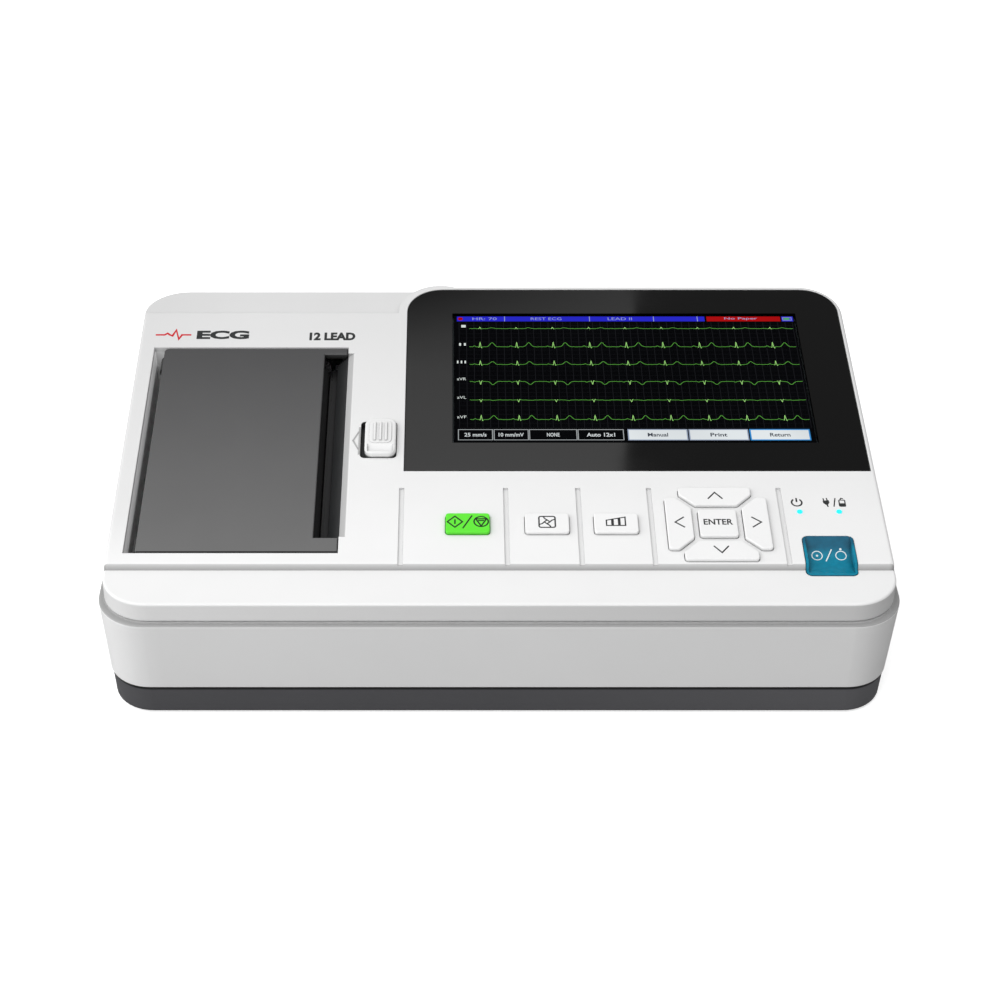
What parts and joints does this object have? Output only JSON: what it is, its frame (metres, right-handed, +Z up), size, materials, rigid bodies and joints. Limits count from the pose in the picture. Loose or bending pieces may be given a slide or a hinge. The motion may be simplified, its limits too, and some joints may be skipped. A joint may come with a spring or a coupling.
{
  "type": "electrocardiograph",
  "caption": "Desktop electrocardiograph: sloping white case with a hinged paper door, print mechanism, glass-covered display, key row and rear sockets.",
  "frame": {"origin": "centre of the footprint on the table", "axes": "+X to the operator's right, +Y to the back, +Z up"},
  "size_m": [0.3218, 0.2064, 0.0826],
  "materials": {
    "white_shell": "fine satin",
    "band_shell": "fine satin",
    "dark_base": "fine texture",
    "foot_rubber": "matt",
    "steel_screw": "machined",
    "clear_lens": "clear",
    "dome_rubber": "matt",
    "circuit_board": "solder mask",
    "cover_glass": "polished, dark border",
    "display": "lit screen",
    "tinted_door": "smooth tint",
    "platen_rubber": "ground",
    "turned_steel": "ground",
    "sheet_steel": "zinc plated",
    "head_ceramic": "dark glaze",
    "sink_aluminium": "black anodised",
    "motor_can": "satin",
    "gear_nylon": "moulded",
    "brass_gear": "machined",
    "spring_steel": "drawn",
    "dark_plastic": "moulded",
    "tray_plastic": "moulded",
    "green_key": "smooth",
    "white_key": "smooth",
    "teal_key": "smooth",
    "latch_plastic": "smooth",
    "battery_wrap": "shrink wrap",
    "metal_case": "folded sheet",
    "chips": "moulded",
    "cable": "flat cable",
    "harness": "insulated wire",
    "socket_metal": "plated",
    "earth_brass": "plated"
  },
  "bodies": {
    "casing": {"base_tray": "dark_base", "battery_pack": "battery_wrap", "battery_door": "dark_base", "battery_door_screws": "steel_screw", "lower_housing": "band_shell", "rubber_feet": "foot_rubber", "shell_screws": "steel_screw", "top_cover": "white_shell", "indicator_lenses": "clear_lens", "keypad_mat": "dome_rubber", "keypad_board": "circuit_board", "display_glass": "cover_glass", "display_module": "display", "door_hinge_pin": "turned_steel", "idler_stud": "turned_steel", "print_motor": "motor_can", "head_pivot_pin": "turned_steel", "head_springs": "spring_steel", "latch_spring": "spring_steel", "mechanism_frame": "sheet_steel", "tear_bar": "dark_plastic", "head_ribbon_cable": "cable", "paper_tray": "tray_plastic", "main_board": "circuit_board", "board_components": "chips", "power_supply": "metal_case", "patient_connector": "socket_metal", "connector_jackscrews": "steel_screw", "power_inlet": "dark_plastic", "ground_stud": "earth_brass", "network_socket": "socket_metal", "usb_socket": "socket_metal", "speaker": "dark_plastic", "power_harness": "harness", "display_ribbon": "cable"},
    "door": {"paper_door": "tinted_door", "platen_bushes": "gear_nylon"},
    "platen": {"platen_shaft": "turned_steel", "platen_rubber": "platen_rubber", "platen_gear": "gear_nylon"},
    "idler": {"idler_gear": "gear_nylon"},
    "motor_rotor": {"motor_pinion": "brass_gear", "motor_shaft": "turned_steel"},
    "head": {"print_head": "head_ceramic", "head_heat_sink": "sink_aluminium"},
    "latch": {"latch_knob": "latch_plastic", "latch_slider": "tray_plastic"},
    "start_key_cap": {"start_key": "green_key"},
    "trace_key_cap": {"trace_key": "white_key"},
    "gain_key_cap": {"gain_key": "white_key"},
    "up_key_cap": {"up_key": "white_key"},
    "down_key_cap": {"down_key": "white_key"},
    "left_key_cap": {"left_key": "white_key"},
    "right_key_cap": {"right_key": "white_key"},
    "enter_key_cap": {"enter_key": "white_key"},
    "power_key_cap": {"power_key": "teal_key"}
  },
  "joints": [
    {"name": "door_hinge", "type": "hinge", "parent": "casing", "child": "door", "pos_m": [-0.146, -0.00734, 0.06423], "axis": [0, -0.9925, -0.1219], "range_deg": [0, 85]},
    {"name": "platen_spin", "type": "hinge", "parent": "door", "child": "platen", "pos_m": [-0.0795, -0.00363, 0.05864], "axis": [0, 0.9925, 0.1219], "continuous": true},
    {"name": "idler_spin", "type": "hinge", "parent": "casing", "child": "idler", "pos_m": [-0.08086, 0.05804, 0.05117], "axis": [0, 0.9925, 0.1219], "continuous": true},
    {"name": "motor_spin", "type": "hinge", "parent": "casing", "child": "motor_rotor", "pos_m": [-0.07276, 0.05297, 0.04082], "axis": [0, 0.9925, 0.1219], "continuous": true},
    {"name": "head_pivot", "type": "hinge", "parent": "casing", "child": "head", "pos_m": [-0.07229, -0.00299, 0.04528], "axis": [0, 0.9925, 0.1219], "range_deg": [0, 3], "deforming": ["head_springs", "head_ribbon_cable"]},
    {"name": "latch_slide", "type": "slide", "parent": "casing", "child": "latch", "axis": [-1, 0, 0], "range_m": [0, 0.0016], "deforming": ["latch_spring"]},
    {"name": "start_key_press", "type": "slide", "parent": "casing", "child": "start_key_cap", "axis": [0, 0.1219, -0.9925], "range_m": [0, 0.001]},
    {"name": "trace_key_press", "type": "slide", "parent": "casing", "child": "trace_key_cap", "axis": [0, 0.1219, -0.9925], "range_m": [0, 0.001]},
    {"name": "gain_key_press", "type": "slide", "parent": "casing", "child": "gain_key_cap", "axis": [0, 0.1219, -0.9925], "range_m": [0, 0.001]},
    {"name": "up_key_press", "type": "slide", "parent": "casing", "child": "up_key_cap", "axis": [0, 0.1219, -0.9925], "range_m": [0, 0.001]},
    {"name": "down_key_press", "type": "slide", "parent": "casing", "child": "down_key_cap", "axis": [0, 0.1219, -0.9925], "range_m": [0, 0.001]},
    {"name": "left_key_press", "type": "slide", "parent": "casing", "child": "left_key_cap", "axis": [0, 0.1219, -0.9925], "range_m": [0, 0.001]},
    {"name": "right_key_press", "type": "slide", "parent": "casing", "child": "right_key_cap", "axis": [0, 0.1219, -0.9925], "range_m": [0, 0.001]},
    {"name": "enter_key_press", "type": "slide", "parent": "casing", "child": "enter_key_cap", "axis": [0, 0.1219, -0.9925], "range_m": [0, 0.001]},
    {"name": "power_key_press", "type": "slide", "parent": "casing", "child": "power_key_cap", "axis": [0, 0.1219, -0.9925], "range_m": [0, 0.0012]}
  ],
  "couplings": [
    {"joint": "idler_spin", "follows": "platen_spin", "ratio": -0.66667},
    {"joint": "motor_spin", "follows": "platen_spin", "ratio": 1.6667}
  ]
}
